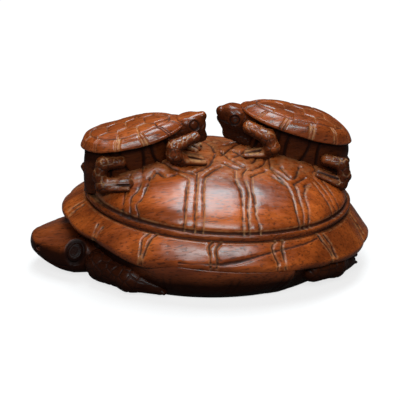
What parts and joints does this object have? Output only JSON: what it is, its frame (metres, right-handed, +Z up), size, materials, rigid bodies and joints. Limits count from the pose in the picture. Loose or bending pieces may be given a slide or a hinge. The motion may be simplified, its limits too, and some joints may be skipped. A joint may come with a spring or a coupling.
{
  "type": "turtle figurine",
  "caption": "Carved and polished hardwood turtle ornament: a big turtle with a domed, scored shell that carries young turtles nose to nose on its crest.",
  "frame": {"origin": "centre of the flat belly face that the carving rests on", "axes": "+Z up, +X from the big turtle's head towards its tail, +Y towards its right side"},
  "size_m": [0.0599, 0.0414, 0.0298],
  "materials": {
    "shell_wood": "waxed and polished reddish brown hardwood",
    "body_wood": "waxed reddish brown hardwood, darker from handling",
    "young_wood": "waxed and polished reddish brown hardwood",
    "eye_inlay": "polished dark hardwood inlay",
    "dowel_wood": "plain turned hardwood, hidden"
  },
  "bodies": {
    "root": {"mother_carapace": "shell_wood", "mother_plastron": "body_wood", "mother_head": "body_wood", "mother_left_foreleg": "body_wood", "mother_right_foreleg": "body_wood", "mother_left_hind_leg": "body_wood", "mother_right_hind_leg": "body_wood", "mother_tail": "body_wood", "mother_left_eye": "eye_inlay", "mother_right_eye": "eye_inlay", "shell_dowels": "dowel_wood", "front_young_carapace": "young_wood", "front_young_body": "young_wood", "front_young_head": "young_wood", "front_young_left_foreleg": "young_wood", "front_young_right_foreleg": "young_wood", "front_young_left_hind_leg": "young_wood", "front_young_right_hind_leg": "young_wood", "front_young_tail": "young_wood", "front_young_left_eye": "eye_inlay", "front_young_right_eye": "eye_inlay", "front_young_dowels": "dowel_wood", "rear_young_carapace": "young_wood", "rear_young_body": "young_wood", "rear_young_head": "young_wood", "rear_young_left_foreleg": "young_wood", "rear_young_right_foreleg": "young_wood", "rear_young_left_hind_leg": "young_wood", "rear_young_right_hind_leg": "young_wood", "rear_young_tail": "young_wood", "rear_young_left_eye": "eye_inlay", "rear_young_right_eye": "eye_inlay", "rear_young_dowels": "dowel_wood"}
  },
  "joints": []
}
